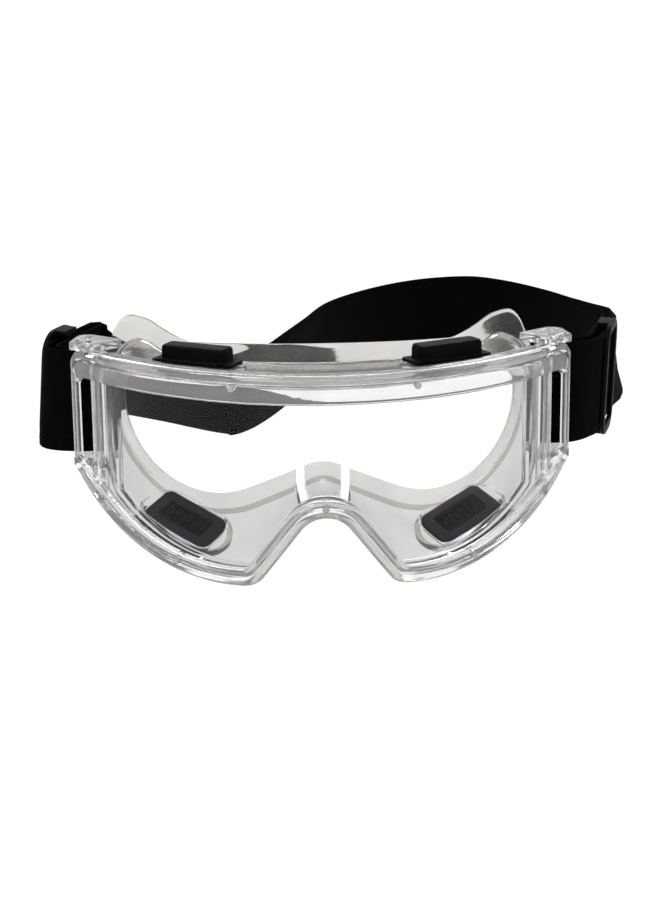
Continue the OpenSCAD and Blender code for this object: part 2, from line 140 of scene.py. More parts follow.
def new_object(name, verts, faces, body, mat, replaces, sharp=38):
    """A closed mesh in the part's frame, shaded smooth apart from edges sharper than an angle."""
    mesh = bpy.data.meshes.new(name)
    mesh.from_pydata([tuple(v) for v in verts], [], [tuple(f) for f in faces])
    return finish_object(name, mesh, body, mat, replaces, sharp)


def finish_object(name, mesh, body, mat, replaces, sharp):
    """The same for a mesh that is there already."""
    bm = bmesh.new()
    bm.from_mesh(mesh)
    bmesh.ops.remove_doubles(bm, verts=bm.verts, dist=MERGE)
    bmesh.ops.dissolve_degenerate(bm, edges=bm.edges, dist=MERGE / 2)
    bmesh.ops.recalc_face_normals(bm, faces=bm.faces)
    limit = math.radians(sharp)
    for f in bm.faces:
        f.smooth = True
    for e in bm.edges:
        e.smooth = len(e.link_faces) != 2 or e.calc_face_angle(0) < limit
    bm.to_mesh(mesh)
    bm.free()
    mesh.materials.clear()
    mesh.materials.append(mat)
    o = bpy.data.objects.new(name, mesh)
    bpy.context.scene.collection.objects.link(o)
    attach(o, body)
    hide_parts(*replaces)
    return o


def ring(rows):
    """Vertices and faces of a closed ring swept through rows of points."""
    rows = np.asarray(rows, float)
    n, m = rows.shape[:2]
    faces = [(i * m + j, ((i + 1) % n) * m + j, ((i + 1) % n) * m + (j + 1) % m, i * m + (j + 1) % m)
             for i in range(n) for j in range(m)]
    return rows.reshape(-1, 3), faces


def tube(rows):
    """The same, open-ended, with its two end faces."""
    rows = np.asarray(rows, float)
    n, m = rows.shape[:2]
    faces = [(i * m + j, (i + 1) * m + j, (i + 1) * m + (j + 1) % m, i * m + (j + 1) % m)
             for i in range(n - 1) for j in range(m)]
    faces += [tuple(range(m))[::-1], tuple((n - 1) * m + j for j in range(m))]
    return rows.reshape(-1, 3), faces


def joined(parts):
    """Several (vertices, faces) as one."""
    verts, faces, base = [], [], 0
    for v, f in parts:
        verts.append(np.asarray(v, float).reshape(-1, 3))
        faces += [tuple(base + k for k in q) for q in f]
        base += len(verts[-1])
    return np.vstack(verts), faces


def raw_mesh(name, verts, faces):
    """A mesh for a boolean; faces of more than four sides are cut into triangles."""
    mesh = bpy.data.meshes.new(name)
    mesh.from_pydata([tuple(v) for v in verts], [], [tuple(f) for f in faces])
    bm = bmesh.new()
    bm.from_mesh(mesh)
    bmesh.ops.recalc_face_normals(bm, faces=bm.faces)
    bmesh.ops.triangulate(bm, faces=[f for f in bm.faces if len(f.verts) > 4])
    bm.to_mesh(mesh)
    bm.free()
    return mesh


def csg(base, adds=(), cuts=()):
    """The union of (vertices, faces) solids, less others, as a mesh."""
    o = bpy.data.objects.new("work", raw_mesh("work", *base))
    bpy.context.scene.collection.objects.link(o)
    tools = []
    for kind, solids in (("UNION", adds), ("DIFFERENCE", cuts)):
        for s in solids:
            t = bpy.data.objects.new("tool", raw_mesh("tool", *s))
            bpy.context.scene.collection.objects.link(t)
            tools.append(t)
            m = o.modifiers.new("join", "BOOLEAN")
            m.operation, m.solver, m.object = kind, "MANIFOLD", t
    bpy.context.view_layer.update()
    mesh = bpy.data.meshes.new_from_object(o.evaluated_get(bpy.context.evaluated_depsgraph_get()))
    for t in [o] + tools:
        bpy.data.objects.remove(t)
    return mesh


def placed(solid):
    """A solid in the numbers' own space, put in the part's frame."""
    return row(solid[0]), solid[1]


def shifted(solid, x, y, z=0):
    return np.asarray(solid[0], float).reshape(-1, 3) + (x, y, z), solid[1]


def moved(solid, matrix):
    """A solid in millimetres of its own space, moved by a matrix and put in the part's frame."""
    v = np.asarray(solid[0], float).reshape(-1, 3)
    m = np.array(matrix, float)
    return row(v @ m[:3, :3].T + m[:3, 3]), solid[1]


def turn(degrees, axis):
    return Matrix.Rotation(math.radians(degrees), 4, axis)


def rounded_rect(length, width, r, n=8):
    out = []
    for cx, cy, a0 in ((1, 1, 0), (-1, 1, 90), (-1, -1, 180), (1, -1, 270)):
        for k in range(n + 1):
            a = a0 + 90 * k / n
            out.append((cx * (length / 2 - r) + r * cosd(a), cy * (width / 2 - r) + r * sind(a)))
    return np.array(out)


def loft(levels, n=8):
    """A solid through rounded rectangles: (length, width, radius, height) at each level."""
    rows = []
    for length, width, r, z in levels:
        p = rounded_rect(length, width, r, n)
        rows.append(np.column_stack([p, np.full(len(p), z)]))
    return tube(rows)


def lathe(profile, n=32):
    """A closed solid of revolution about z from (radius, height) pairs; the ends lie on the axis."""
    verts, faces, rows = [], [], []
    for r, z in profile:
        if r < 1e-9:
            rows.append([len(verts)])
            verts.append((0, 0, z))
        else:
            rows.append(list(range(len(verts), len(verts) + n)))
            verts += [(r * cosd(360 * k / n), r * sind(360 * k / n), z) for k in range(n)]
    for a, b in zip(rows, rows[1:]):
        for k in range(n):
            j = (k + 1) % n
            if len(a) == 1:
                faces.append((a[0], b[j], b[k]))
            elif len(b) == 1:
                faces.append((a[k], a[j], b[0]))
            else:
                faces.append((a[k], a[j], b[j], b[k]))
    return np.array(verts), faces


def capsule(p, q, r, n=20):
    """A rod with round ends from p to q."""
    p, q = Vector(p), Vector(q)
    d = q - p
    prof = [(r * sind(a), -r * cosd(a)) for a in range(0, 91, 15)]
    prof += [(r * sind(a), d.length - r * cosd(a)) for a in range(90, 181, 15)]
    prof[0], prof[-1] = (0, prof[0][1]), (0, prof[-1][1])
    v, f = lathe(prof, n)
    m = Matrix.Translation(p) @ d.to_track_quat("Z", "Y").to_matrix().to_4x4()
    return np.array([m @ Vector(x) for x in v]), f


def hull(points):
    """The convex hull of points, as vertices and faces."""
    bm = bmesh.new()
    for p in points:
        bm.verts.new(p)
    found = bmesh.ops.convex_hull(bm, input=bm.verts)
    loose = [g for g in set(found["geom_interior"]) | set(found["geom_unused"])
             if isinstance(g, bmesh.types.BMVert)]
    bmesh.ops.delete(bm, geom=loose, context="VERTS")
    bm.verts.index_update()
    out = ([tuple(v.co) for v in bm.verts], [tuple(v.index for v in f.verts) for f in bm.faces])
    bm.free()
    return out


def ball(c, r, n=12):
    """Points on a sphere, for a hull."""
    out = [(c[0], c[1], c[2] - r), (c[0], c[1], c[2] + r)]
    for i in range(1, n // 2 + 2):
        e = -90 + 180 * i / (n // 2 + 2)
        out += [(c[0] + r * cosd(e) * cosd(360 * k / n), c[1] + r * cosd(e) * sind(360 * k / n),
                 c[2] + r * sind(e)) for k in range(n)]
    return out


def disc(c, r, n=24):
    """Points on a level circle, for a hull."""
    return [(c[0] + r * cosd(360 * k / n), c[1] + r * sind(360 * k / n), c[2]) for k in range(n)]


# ------------------------------------------------------------
# Outlines of the frame and of the face opening, as in the CAD
# ------------------------------------------------------------
def arc(c, r, a0, a1, n):
    return [(c[0] + r * cosd(a0 + (a1 - a0) * i / n), c[1] + r * sind(a0 + (a1 - a0) * i / n))
            for i in range(n)]


def line(p, q, n):
    return [(p[0] + (q[0] - p[0]) * i / n, p[1] + (q[1] - p[1]) * i / n) for i in range(n)]


# stations of each stretch of half an outline, from the middle of the nose to the middle of the top
N_NOSE, N_FLANK, N_LOBE, N_CHEEK, N_CORNER, N_SIDE, N_TOP_CORNER, N_TOP = (
    FINE * n for n in (6, 5, 7, 16, 6, 8, 7, 18))
# a stile begins on the cheek and ends on the top
STILE_FROM, STILE_TO = 31 * FINE, 57 * FINE


def half_outline(nose, lobe, cheek, corner, lobe_end, cheek_end, side_x, top_z, rise_z, top_r):
    """Each circle is (centre, radius); the lobe and the cheek end at the angles given for them."""
    (c1, r1), (c2, r2) = nose, lobe
    dist = math.hypot(c2[0] - c1[0], c2[1] - c1[1])
    heading = math.degrees(math.atan2(c2[1] - c1[1], c2[0] - c1[0]) - math.asin((r1 + r2) / dist))
    u = (cosd(heading + 90), sind(heading + 90))
    a = (c1[0] + r1 * u[0], c1[1] + r1 * u[1])
    b = (c2[0] - r2 * u[0], c2[1] - r2 * u[1])
    top_c = (side_x - top_r, top_z + rise_z - top_r)
    left = [1 - i / N_TOP for i in range(N_TOP)]
    return (arc(c1, r1, 90, heading + 90, N_NOSE)
            + line(a, b, N_FLANK)
            + arc(c2, r2, heading + 270, lobe_end, N_LOBE)
            + arc(cheek[0], cheek[1], lobe_end, cheek_end, N_CHEEK)
            + arc(corner[0], corner[1], cheek_end, 360, N_CORNER)
            + line((side_x, corner[0][1]), (side_x, top_c[1]), N_SIDE)
            + arc(top_c, top_r, 0, 90, N_TOP_CORNER)
            + [(top_c[0] * t, top_z + rise_z * t ** 2) for t in left]
            + [(0, top_z)])


def whole(half):
    """A closed outline, from its right half."""
    return np.array(half + [(-x, z) for x, z in half[-2:0:-1]])


def normals(p, sign):
    """Unit normals of a closed outline, one at each station."""
    t = np.roll(p, -1, 0) - np.roll(p, 1, 0)
    n = np.column_stack([-t[:, 1], t[:, 0]])
    return sign * n / np.linalg.norm(n, axis=1)[:, None]


# circles of the frame's outer edge, and the angles where two of them end
NOSE = ((0, 13), 10)
LOBE = ((27.5, 7.6), 8.7)
CHEEK = ((28.6, 62.8), 63.9)
LOBE_END = 268.9
CHEEK_END = 325


def widened(circle, w):
    return circle[0], circle[1] + w


def corner_at(x, r):
    """The circle that rounds the cheek into an upright line at x, and the angle where it starts."""
    a = math.degrees(math.acos((x - r - CHEEK[0][0]) / (CHEEK[1] - r)))
    return ((x - r, CHEEK[0][1] - (CHEEK[1] - r) * sind(a)), r), 360 - a


def rise(x):
    """Rise of the top rim at x."""
    return TOP_RISE * (x / (FRAME_HALF - TOP_R)) ** 2


def frame_line(w, corner, cheek_end, side_x, top_z, rise_z, top_r):
    """An outline of the frame, w inside its outer edge as far as the cheek."""
    return whole(half_outline(widened(NOSE, w), widened(LOBE, -w), widened(CHEEK, -w), corner,
                              LOBE_END, cheek_end, side_x, top_z, rise_z, top_r))


# the edge of the lens and facepiece, the outer edge of the frame, and the frame's window
RIM = frame_line(0, *corner_at(FRAME_HALF, 6), FRAME_HALF, FRAME_TOP, TOP_RISE, TOP_R)
OUTER = frame_line(0, *corner_at(POST_HALF, 4), POST_HALF, FRAME_TOP, rise(POST_HALF - TOP_R), TOP_R)
WINDOW_HALF = POST_HALF - POST_W
WINDOW = frame_line(LOW_RIM, ((WINDOW_HALF - 2, LUG_LOW + 2), 2), CHEEK_END, WINDOW_HALF,
                    FRAME_TOP - TOP_RIM, rise(WINDOW_HALF - 3), 3)
# the face opening: its lobe, cheek and corner are one circle
EYE = ((39, 50), 30.5)
OPEN = whole(half_outline(((0, 18.5), 14), EYE, EYE, EYE, 272, CHEEK_END, 69.5, 62.5, 0, 10))
RIM_IN, OPEN_OUT = normals(RIM, 1), normals(OPEN, -1)
COUNT = len(RIM)


def wrap(p, d):
    """A point of an outline, on the cylinder at depth d behind the front of the lens."""
    a = math.asin(p[0] / LENS_R)
    return np.array([(LENS_R - d) * math.sin(a), LENS_R - (LENS_R - d) * math.cos(a), p[1]])


def at_rim(i, w, d):
    """A point w inside the rim at a station, at depth d."""
    return wrap(RIM[i] + w * RIM_IN[i], d)


def face_y(x):
    return DEPTH + FACE_R - math.sqrt(FACE_R * FACE_R - x * x)


def at_face(i, m, d):
    """A point m outside the face opening at a station, d behind the face."""
    p = OPEN[i] + m * OPEN_OUT[i]
    return np.array([p[0], face_y(p[0]) + d, p[1]])


UPPER_Z, UPPER_BLEND = 46, 14       # where the shapes of the upper half begin, and how fast
EAR_X, EAR_IN, EAR_OUT = 62, 17, 4  # the peak of an ear, and its spread on either side
BROW_W = 2                          # the flange is this much wider over the brow
BROW_MIDDLE, BROW_X = 1.9, 60       # and this much more at the middle, fading out at x


def upper(p):
    """0 on the lower half of the opening and 1 on the upper."""
    return smooth((p[1] - UPPER_Z) / UPPER_BLEND)


def ear(p):
    e = abs(p[0]) - EAR_X
    return upper(p) * (max(0, 1 + e / EAR_IN) ** 1.3 if e < 0 else math.exp(-(e / EAR_OUT) ** 2))


def flange(p):
    """Width of the sealing flange, which is wider over the brow and widest at the ears."""
    brow = BROW_W + BROW_MIDDLE * cosd(90 * min(1, abs(p[0]) / BROW_X))
    return FLANGE_W + upper(p) * brow + EAR_H * ear(p)


NECK, WALL_IN = 3.6, 2.2            # the foot of the wall from the opening, and its front from the rim
WALL_BULGE = 1.2
WALL_STEPS = 9
EAR_LIFT, EAR_LIFT_X = 5, 9         # the foot of the wall moves out at the ears, over this half width


def wall(i, t, side):
    """A point of the curved wall, from the rim (t 0) to the flange (t 1); side is 1 outside."""
    lift = EAR_LIFT * upper(OPEN[i]) * max(0, 1 - abs(abs(OPEN[i][0]) - EAR_X) / EAR_LIFT_X)
    a = at_rim(i, WALL_IN + WALL_T * (1 - side) + 0.2, RIM_BACK + 3.6)
    b = at_face(i, NECK + WALL_T * side + lift, -2)
    out = np.array([-RIM_IN[i][0], 0, -RIM_IN[i][1]])
    return a + (b - a) * t + out * WALL_BULGE * sind(180 * t)


def face_section(i):
    """The facepiece at a station: its front, the wall's outside, the flange, the wall's inside."""
    w, rear, seat = flange(OPEN[i]), RIM_BACK + SEAT_GAP, LENS_T + SEAT_GAP
    steps = [k / WALL_STEPS for k in range(WALL_STEPS + 1)]
    s = [at_rim(i, LENS_EDGE + 0.1, seat), at_rim(i, LENS_EDGE + 0.1, rear),
         at_rim(i, 0.6, rear), at_rim(i, 0.4, rear + 0.3), at_rim(i, 0.4, rear + 2.0),
         at_rim(i, 0.7, rear + 2.5)]
    s += [wall(i, t, 1) for t in steps]
    s += [at_face(i, m, d) for m, d in (
        (w - 1.6, -1.45), (w - 0.6, -1.35), (w - 0.15, -1.05), (w, -0.65), (w - 0.15, -0.25), (w - 0.6, 0),
        (NECK + 1, 0), (0.7, 0), (0.2, -0.15), (0, -0.55), (0.15, -0.95), (0.6, -1.25))]
    s += [wall(i, t, 0) for t in steps[::-1]]
    s += [at_rim(i, LOW_RIM - 0.1, rear + 2.1), at_rim(i, LOW_RIM - 0.3, rear + 1.4),
          at_rim(i, LOW_RIM - 0.3, seat)]
    return s


RIM_BLEND = 6               # the rim grows from its low width to its top width over this height
POST_X, POST_DEPTH = 77, 2.8    # the posts begin here, and are this much less deep than the rim
GROOVE = 3.5                # from the frame's outer edge to the groove in its front


def full(i):
    """Nominal width of the frame at a station; offsets towards the window scale with it."""
    return LOW_RIM + (TOP_RIM - LOW_RIM) * smooth((OUTER[i][1] - FRAME_TOP + RIM_BLEND) / RIM_BLEND)


def at_frame(i, w, d):
    """A point w inside the frame's outer edge at a station, at depth d."""
    return wrap(OUTER[i] + (WINDOW[i] - OUTER[i]) * w / full(i), d)


def post(i):
    """1 along the guard post beside the webbing and the corner above it, and 0 elsewhere."""
    x, z = OUTER[i]
    return smooth((abs(x) - POST_X) / 2) * smooth((z - LUG_LOW + 4) / 3)


def frame_section(i):
    """A rim with two rounded ridges and a groove between them, and the lens rebate behind."""
    w, f, g, rear = full(i), -RIM_FRONT, GROOVE, RIM_BACK - POST_DEPTH * post(i)
    pts = [(LENS_EDGE - 0.4, rear), (LENS_EDGE - 0.4, -EDGE_GAP), (w, -EDGE_GAP), (w, f + 1.3),
           (w - 0.25, f + 0.7), (w - 0.9, f + 0.25), (w - 1.6, f + 0.12),
           ((w + g) / 2 + 0.2, f + 0.02), (g + 1.1, f + 0.1), (g + 0.5, f + 0.4), (g + 0.15, f + 1.3),
           (g - 0.15, f + 1.3), (g - 0.5, f + 0.4), (g - 1.0, f + 0.05), (g - 1.6, f), (1.2, f + 0.08),
           (0.6, f + 0.35), (0.15, f + 0.9), (0, f + 1.5), (0, rear - 0.2), (0.25, rear)]
    return [at_frame(i, a, d) for a, d in pts]


def stile_section(i):
    """The bar beside the lens, between the cheek and the top rim."""
    w = STILE_W
    return [at_rim(i, a, d) for a, d in (
        (2, 2.8), (2, -0.2), (w, -0.2), (w, -0.8), (w - 0.15, -1.15), (w - 0.5, -1.4), (w - 1.6, -1.3),
        (1.6, -1.3), (0.9, -1.4), (0.5, -1.2), (0.3, -0.8), (0.3, 2.8))]


# ------------------------------------------------------------
# Materials: every one is procedural
# ------------------------------------------------------------
class Nodes:
    """A material's node tree, with short calls for the nodes used below."""

    def __init__(self, name):
        self.mat = bpy.data.materials.new(name)
        self.mat.use_nodes = True
        self.tree = self.mat.node_tree
        self.out = self.tree.nodes["Material Output"]
        self.bsdf = self.tree.nodes["Principled BSDF"]

    def add(self, kind, **values):
        """_name=v sets a property, i2=v an input by its number, and Some_Name=v an input by name."""
        n = self.tree.nodes.new(kind)
        for k, v in values.items():
            if k.startswith("_"):
                setattr(n, k[1:], v)
            else:
                numbered = k[0] == "i" and k[1:].isdigit()
                self.put(n.inputs[int(k[1:])] if numbered else n.inputs[k.replace("_", " ")], v)
        return n

    def put(self, socket, v):
        """Link another node's socket to this one, or give it a value."""
        if isinstance(v, bpy.types.NodeSocket):
            self.tree.links.new(v, socket)
        else:
            socket.default_value = v

    def coords(self, scale=(1, 1, 1)):
        c = self.add("ShaderNodeTexCoord")
        m = self.add("ShaderNodeMapping", Vector=c.outputs["Object"], Scale=scale)
        return m.outputs[0]

    def noise(self, scale, detail=3.0, rough=0.5, vector=None, distortion=0.0):
        n = self.add("ShaderNodeTexNoise", Scale=scale, Detail=detail, Roughness=rough, Distortion=distortion)
        self.put(n.inputs["Vector"], vector or self.coords())
        return n.outputs["Fac"]

    def ramp(self, fac, stops):
        """Each stop is (position, grey level or colour)."""
        r = self.add("ShaderNodeValToRGB", Fac=fac)
        e = r.color_ramp.elements
        while len(e) < len(stops):
            e.new(0.5)
        for k, (pos, col) in enumerate(stops):
            e[k].position = pos
            e[k].color = (*col, 1) if isinstance(col, tuple) else (col, col, col, 1)
        return r.outputs[0]

    def maths(self, op, a, b=0.5, c=0.5):
        return self.add("ShaderNodeMath", _operation=op, i0=a, i1=b, i2=c).outputs[0]

    def bump(self, height, strength, distance, normal=None):
        n = self.add("ShaderNodeBump", Height=height, Strength=strength, Distance=distance)
        if normal:
            self.put(n.inputs["Normal"], normal)
        return n.outputs[0]

    def mix(self, fac, a, b):
        """Inputs 6 and 7 and output 2 of the node are its colours."""
        return self.add("ShaderNodeMix", _data_type="RGBA", i0=fac, i6=a, i7=b).outputs[2]

    def set(self, **values):
        """Inputs of the Principled shader."""
        for k, v in values.items():
            self.put(self.bsdf.inputs[k.replace("_", " ")], v)


def clear_plastic(name, tint, dim, roughness, wave, haze, ior):
    """A clear moulding that bends light: slightly wavy, scuffed, and hazier in some places than others."""
    m = Nodes(name)
    flow = m.noise(70, 2, 0.5, m.coords((1, 1, 0.35)), 0.6)
    fine = m.noise(900, 3, 0.6)
    n = m.bump(flow, wave, 0.001)
    n = m.bump(fine, 0.05, 0.0002, n)
    shade = m.ramp(m.noise(45, 3, 0.55, m.coords((1, 1, 0.6)), 0.8),
                   [(0.32, tuple(dim * c for c in tint)), (0.68, tint)])
    rough = m.ramp(m.noise(300, 4), [(0.35, roughness), (0.75, roughness * 1.8)])
    clear = m.ramp(m.noise(38, 3, 0.6, m.coords((1, 1, 0.5)), 0.5),
                   [(0.3, 1.0 - 1.5 * haze), (0.7, 1.0 - haze)])
    m.set(Base_Color=shade, Roughness=rough, Transmission_Weight=clear, IOR=ior, Normal=n)
    return m.mat


def lens_plastic():
    """Thin clear sheet: seen straight through, with a mirror that grows towards its edges."""
    m = Nodes("lens_sheet")
    tree = m.tree
    tree.nodes.remove(m.bsdf)
    n = m.bump(m.noise(25, 2), 0.02, 0.001)
    rough = m.ramp(m.noise(400, 4), [(0.4, 0.02), (0.8, 0.05)])
    tint = m.ramp(m.noise(40, 2), [(0.3, (0.985, 0.99, 0.995)), (0.7, (0.995, 0.995, 0.995))])
    see = m.add("ShaderNodeBsdfTransparent", Color=tint)
    shine = m.add("ShaderNodeBsdfGlossy", Color=(0.92, 0.94, 1, 1), Roughness=rough, Normal=n)
    fres = m.add("ShaderNodeFresnel", IOR=1.2, Normal=n)
    mix = m.add("ShaderNodeMixShader", i0=fres.outputs[0], i1=see.outputs[0], i2=shine.outputs[0])
    m.put(m.out.inputs[0], mix.outputs[0])
    return m.mat


def moulded(name, dark, light, roughness, grain, gloss):
    """An opaque moulding with a fine spark texture and slightly rubbed patches."""
    m = Nodes(name)
    col = m.ramp(m.noise(220, 4, 0.6), [(0.3, dark), (0.75, light)])
    n = m.bump(m.noise(2600, 2, 0.6), grain, 0.0001)
    n = m.bump(m.noise(150, 2), 0.08, 0.0004, n)
    rough = m.ramp(m.noise(420, 4), [(0.3, roughness), (0.8, min(1, roughness + 0.2))])
    m.set(Base_Color=col, Roughness=rough, Normal=n, IOR=1.45, Specular_IOR_Level=gloss)
    return m.mat


def webbing():
    """Knitted elastic: ribs along the band, a stitch pattern across them, and bound edges, with painted shade
    in the hollows of the knit.

    The "band" coordinates are metres along the webbing, and 0 to 1 across it.
    """
    ribs, stitch = 30, 0.0011
    # the second colour is a painted highlight on the raised yarn of the knit; the third is dust
    black, knit_crest_lit, dusty = (0.0004, 0.0004, 0.0005, 1), (0.0018, 0.0018, 0.002, 1), (0.0028, 0.0028, 0.0032, 1)
    m = Nodes("webbing")
    uv = m.add("ShaderNodeUVMap", _uv_map="band").outputs[0]
    sep = m.add("ShaderNodeSeparateXYZ", Vector=uv)
    along, side = sep.outputs[0], sep.outputs[1]
    rib = m.maths("SINE", m.maths("MULTIPLY", side, 2 * math.pi * ribs))
    knit = m.maths("SINE", m.maths("ADD", m.maths("MULTIPLY", along, 2 * math.pi / stitch),
                                   m.maths("MULTIPLY", rib, 1.4)))
    weave = m.maths("MULTIPLY_ADD", knit, 0.28, m.maths("MULTIPLY", rib, 0.5))
    edge = m.maths("ABSOLUTE", m.maths("SUBTRACT", side, 0.5))
    bound = m.ramp(edge, [(0.455, 1.0), (0.465, 0.0), (0.475, 1.0)])
    height = m.maths("MULTIPLY", m.maths("MULTIPLY_ADD", weave, 0.5, 0.5), bound)
    fuzz = m.noise(3000, 3, 0.7)
    n = m.bump(height, 0.35, 0.0002)
    n = m.bump(fuzz, 0.15, 0.0001, n)
    tone = m.noise(70, 3, 0.6)
    # painted shade: the colour follows the height of the knit, dark in its hollows and lighter on the raised
    # yarn
    col = m.mix(m.maths("MULTIPLY_ADD", weave, 0.3, 0.4), black, knit_crest_lit)
    col = m.mix(m.maths("MULTIPLY", tone, 0.35), col, dusty)
    m.set(Base_Color=col, Roughness=0.9, Normal=n, Specular_IOR_Level=0.03)
    return m.mat


def thread():
    """Twisted grey thread."""
    m = Nodes("thread")
    twist = m.add("ShaderNodeTexWave", Scale=900, Distortion=1.0, Detail=2.0)
    m.put(twist.inputs["Vector"], m.coords((1, 1, 1.6)))
    col = m.mix(m.noise(500, 2), (0.02, 0.02, 0.022, 1), (0.05, 0.05, 0.055, 1))
    m.set(Base_Color=col, Roughness=0.7, Normal=m.bump(twist.outputs["Fac"], 0.4, 0.00015))
    return m.mat


VINYL = clear_plastic("clear_vinyl", tint=(0.76, 0.743, 0.722), dim=0.88, roughness=0.06, wave=0.28,
                      haze=0.07, ior=1.25)
RIGID = clear_plastic("clear_rigid", tint=(0.945, 0.936, 0.926), dim=0.92, roughness=0.03, wave=0.18,
                      haze=0.08, ior=1.50)
LENS = lens_plastic()
BLACK = moulded("black_moulding", dark=(0.0010, 0.0010, 0.0011), light=(0.0022, 0.0022, 0.0025),
                roughness=0.45, grain=0.10, gloss=0.06)
SLATE = moulded("slate_moulding", dark=(0.014, 0.0135, 0.018), light=(0.020, 0.019, 0.025),
                roughness=0.5, grain=0.10, gloss=0.15)
MESH = moulded("screen_moulding", dark=(0.0018, 0.0018, 0.0023), light=(0.0024, 0.0024, 0.003),
               roughness=0.7, grain=0.05, gloss=0.06)
PEG = moulded("peg_moulding", dark=(0.30, 0.30, 0.30), light=(0.42, 0.42, 0.41),
              roughness=0.25, grain=0.05, gloss=0.5)
CLOTH = webbing()
THREAD = thread()

# ------------------------------------------------------------
# Facepiece
# ------------------------------------------------------------
# A vent's seat in the wall: half the thickness of the pad; (length, width) of the pad, of the
# pocket on each face of it and of the hole through it; and the radius of the pocket's corners.
UPPER = {"half": 1.4, "pad": (35, 16), "pocket": (30.6, 11.6), "hole": (20.4, 5.6), "corner": 2}
LOWER = {"half": 1.5, "pad": (36, 22.4), "pocket": (27.8, 17.2), "hole": (18, 9), "corner": 3.4}
UPPER_AT, UPPER_YAW = (42, 24, 69.6), 27
LOWER_AT = (48.3, 34.5, 10.8)
LOWER_YAW, LOWER_ROLL, LOWER_PITCH = 29, -21, 21
PAD_EASE = 0.3


def upper_vent(side):
    """Places a vent that is modelled flat, its cap up, in the upper wall."""
    x, y, z = UPPER_AT
    return Matrix.Translation((side * x, y, z)) @ turn(side * UPPER_YAW, "Z")


def lower_vent(side):
    """The same in the lower wall, its cap down."""
    m = (Matrix.Translation(LOWER_AT) @ turn(LOWER_YAW, "Z") @ turn(LOWER_ROLL, "Y")
         @ turn(LOWER_PITCH, "X") @ Matrix.Scale(-1, 4, (0, 0, 1)))
    return Matrix.Scale(-1, 4, (1, 0, 0)) @ m if side < 0 else m


def prism(size, r, z0, z1):
    return loft([(*size, r, z0), (*size, r, z1)])


def pad_solid(size, half):
    """A pad with round ends and eased edges."""
    r = size[1] / 2 - 0.001
    small = (size[0] - 2 * PAD_EASE, size[1] - 2 * PAD_EASE, r - PAD_EASE)
    return loft([(*small, -half), (*size, r, -half + PAD_EASE), (*size, r, half - PAD_EASE), (*small, half)])


def vent_seat(vent, place):
    """What a vent adds to the facepiece, and what it cuts from it."""
    half = vent["half"]
    ends = ((half, half + 4), (-half - 4, -half))
    pockets = [prism(vent["pocket"], vent["corner"], *z) for z in ends]
    hole = prism(vent["hole"], 1.5, -half - 5, half + 5)
    return moved(pad_solid(vent["pad"], half), place), [moved(c, place) for c in pockets + [hole]]


def nose_slit(side):
    """The slit between one side of the nose tab and the rest of the facepiece."""
    low = disc((side * 8.2, DEPTH + 4, 18), 1.5) + disc((side * 6, 9, 18), 1.2)
    return placed(hull(low + [(x, y, 38) for x, y, _ in low]))


def make_facepiece():
    adds, cuts = [], []
    for s in (-1, 1):
        for vent, place in ((UPPER, upper_vent(s)), (LOWER, lower_vent(s))):
            pad, holes = vent_seat(vent, place)
            adds.append(pad)
            cuts += holes
        cuts.append(nose_slit(s))
    mesh = csg(placed(ring([face_section(i) for i in range(COUNT)])), adds, cuts)
    return finish_object("facepiece_clear", mesh, "goggles", VINYL, ["facepiece"], sharp=34)


# ------------------------------------------------------------
# Front frame, lens, pegs and pins
# ------------------------------------------------------------
# x and height of each peg
PEGS = [(-49.5, 5.9), (49.5, 5.9), (-30, 67), (30, 67), (0, 26.4)]
PEG_R, PEG_GAP = 1.1, 0.1
PIN_GAP = 0.06
LUG_EASE = 0.25
# the knuckle on each lug is a bar with round ends: its radius, and the place of either end
KNUCKLES = ((1.95, (83.2, 38.9, LUG_HIGH + 1.5), (79.4, 34.3, LUG_HIGH + 1.1)),
            (1.6, (83.7, 38.9, LUG_LOW - 1.4), (84, 39.4, LUG_LOW - 3.6)))


def peg_matrix(p):
    a = math.asin(p[0] / LENS_R)
    return Matrix.Translation(wrap(p, 0)) @ Matrix.Rotation(a, 4, "Z") @ turn(90, "X")


def stile(side):
    v, f = tube([stile_section(i) for i in range(STILE_FROM, STILE_TO + 1)])
    return v * (side, 1, 1), f


def lug(side, z, h, inner=FRAME_HALF):
    """A plate of height h over z, from the rim back to the pin, with eased edges."""
    pts = []
    for x, y, r in ((77.6, 33.6, 1.3), (84.8, 38, 1.4), (inner, 41, 1.4), (PIN_X + 0.6, PIN_Y + 0.4, 4)):
        for e, k in ((0, LUG_EASE), (LUG_EASE, 0), (h - LUG_EASE, 0), (h, LUG_EASE)):
            pts += disc((side * x, y, z + e), r - k)
    return hull(pts)


def knuckle(side, r, *ends):
    return hull([p for x, y, z in ends for p in ball((side * x, y, z), r)])


def make_frame():
    adds, cuts = [], []
    for s in (-1, 1):
        adds += [stile(s), lug(s, LUG_LOW - LUG_T, LUG_T), lug(s, LUG_HIGH, LUG_T, inner=70)]
        adds += [knuckle(s, *k) for k in KNUCKLES]
        r = PIN_R + PIN_GAP
        pin_hole = lathe([(0, 20), (r, 20), (r, 90), (0, 90)])
        cuts.append(placed(shifted(pin_hole, s * PIN_X, PIN_Y)))
    r = PEG_R + PEG_GAP
    peg_hole = lathe([(0, -1), (r, -1), (r, 4), (0, 4)], 24)
    cuts += [moved(peg_hole, peg_matrix(p)) for p in PEGS]
    base = placed(ring([frame_section(i) for i in range(COUNT)]))
    mesh = csg(base, [placed(a) for a in adds], cuts)
    return finish_object("front_frame_clear", mesh, "goggles", RIGID, ["front_frame"],
                         sharp=34)


